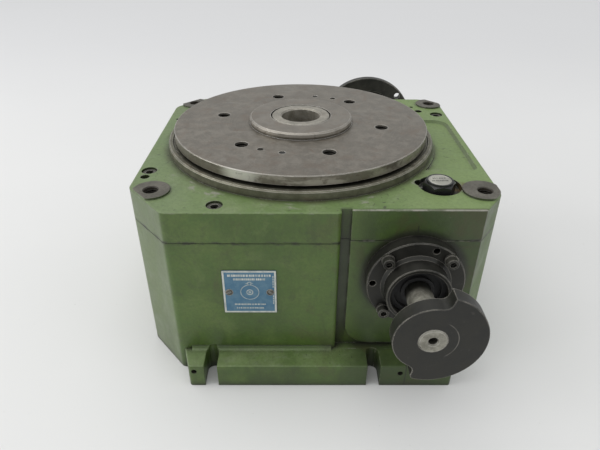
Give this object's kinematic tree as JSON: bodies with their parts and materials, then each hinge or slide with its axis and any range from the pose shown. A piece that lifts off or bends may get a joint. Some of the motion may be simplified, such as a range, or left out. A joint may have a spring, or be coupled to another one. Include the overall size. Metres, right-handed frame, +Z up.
{
  "type": "worm gear rotary table drive",
  "caption": "Closed worm gear drive with a round turning table on a green cast housing, hollow centre column, flanged cross shaft with a cam at the front and a disc at the rear.",
  "frame": {"origin": "on the table's axis, at the underside of the housing and of the centre bore", "axes": "+Z up along the table's axis, front face with the nameplate and input shaft towards -Y, cross shaft at +X"},
  "size_m": [0.3235, 0.4585, 0.196],
  "materials": {
    "green_paint": "worn machine enamel on cast iron",
    "ground_steel": "ground, slightly stained",
    "dark_steel": "oily turned steel",
    "bare_steel": "machined",
    "cast_iron": "machined",
    "black_oxide": "black oxide, worn at edges",
    "dark_screw": "black oxide",
    "black_plastic": "moulded",
    "bright_aluminium": "stamped",
    "nameplate_blue": "printed metal plate",
    "seal_rubber": "matte",
    "gasket": "matte",
    "felt": "oiled felt",
    "bronze": "hobbed bronze",
    "cage_brass": "machined",
    "copper": "copper washer"
  },
  "bodies": {
    "housing": {"housing_body": "green_paint", "front_foot": "green_paint", "rear_foot": "green_paint", "housing_cover": "green_paint", "cover_gasket": "gasket", "cover_screws": "dark_screw", "cover_dowels": "dark_screw", "oil_filler_plug": "black_plastic", "oil_plug_disc": "bright_aluminium", "drain_plug": "dark_screw", "drain_washer": "copper", "center_column": "ground_steel", "column_screws": "dark_screw", "retaining_ring": "dark_steel", "retaining_ring_screws": "dark_screw", "table_seal": "felt", "main_outer_ring": "bare_steel", "lower_inner_ring": "bare_steel", "front_flange": "black_oxide", "rear_flange": "black_oxide", "front_flange_screws": "dark_screw", "rear_flange_screws": "dark_screw", "front_shaft_seal": "seal_rubber", "rear_shaft_seal": "seal_rubber", "front_bearing_outer_ring": "bare_steel", "rear_bearing_outer_ring": "bare_steel", "nameplate": "nameplate_blue", "nameplate_screws": "dark_steel"},
    "table": {"table_plate": "ground_steel", "table_hub": "cast_iron", "table_screws": "dark_screw", "table_dowels": "dark_steel", "table_hole_plugs": "dark_screw", "bearing_clamp_ring": "dark_steel", "clamp_ring_screws": "dark_screw", "main_inner_ring": "bare_steel", "lower_outer_ring": "bare_steel", "worm_wheel": "bronze", "worm_wheel_screws": "dark_screw"},
    "input_shaft": {"worm_shaft": "bare_steel", "cam_disc": "black_oxide", "cam_key": "bare_steel", "rear_disc": "black_oxide", "rear_disc_key": "bare_steel", "front_bearing_inner_ring": "bare_steel", "rear_bearing_inner_ring": "bare_steel"},
    "main_ball_set": {"main_balls": "bare_steel", "main_cage": "cage_brass"},
    "lower_ball_set": {"lower_balls": "bare_steel", "lower_cage": "cage_brass"},
    "front_ball_set": {"front_bearing_balls": "bare_steel", "front_bearing_cage": "cage_brass"},
    "rear_ball_set": {"rear_bearing_balls": "bare_steel", "rear_bearing_cage": "cage_brass"}
  },
  "joints": [
    {"name": "table_spin", "type": "hinge", "parent": "housing", "child": "table", "pos_m": [0, 0, 0], "axis": [0, 0, 1], "continuous": true},
    {"name": "input_spin", "type": "hinge", "parent": "housing", "child": "input_shaft", "pos_m": [0.096, 0, 0.105], "axis": [0, 1, 0], "continuous": true},
    {"name": "main_balls_spin", "type": "hinge", "parent": "housing", "child": "main_ball_set", "pos_m": [0, 0, 0.16], "axis": [0, 0, 1], "continuous": true},
    {"name": "lower_balls_spin", "type": "hinge", "parent": "housing", "child": "lower_ball_set", "pos_m": [0, 0, 0.0465], "axis": [0, 0, 1], "continuous": true},
    {"name": "front_balls_spin", "type": "hinge", "parent": "housing", "child": "front_ball_set", "pos_m": [0.096, 0, 0.105], "axis": [0, 1, 0], "continuous": true},
    {"name": "rear_balls_spin", "type": "hinge", "parent": "housing", "child": "rear_ball_set", "pos_m": [0.096, 0, 0.105], "axis": [0, 1, 0], "continuous": true}
  ],
  "couplings": [
    {"joint": "input_spin", "follows": "table_spin", "ratio": -40},
    {"joint": "main_balls_spin", "follows": "table_spin", "ratio": 0.46765},
    {"joint": "lower_balls_spin", "follows": "table_spin", "ratio": 0.54643},
    {"joint": "front_balls_spin", "follows": "table_spin", "ratio": -15.896},
    {"joint": "rear_balls_spin", "follows": "table_spin", "ratio": -15.896}
  ]
}
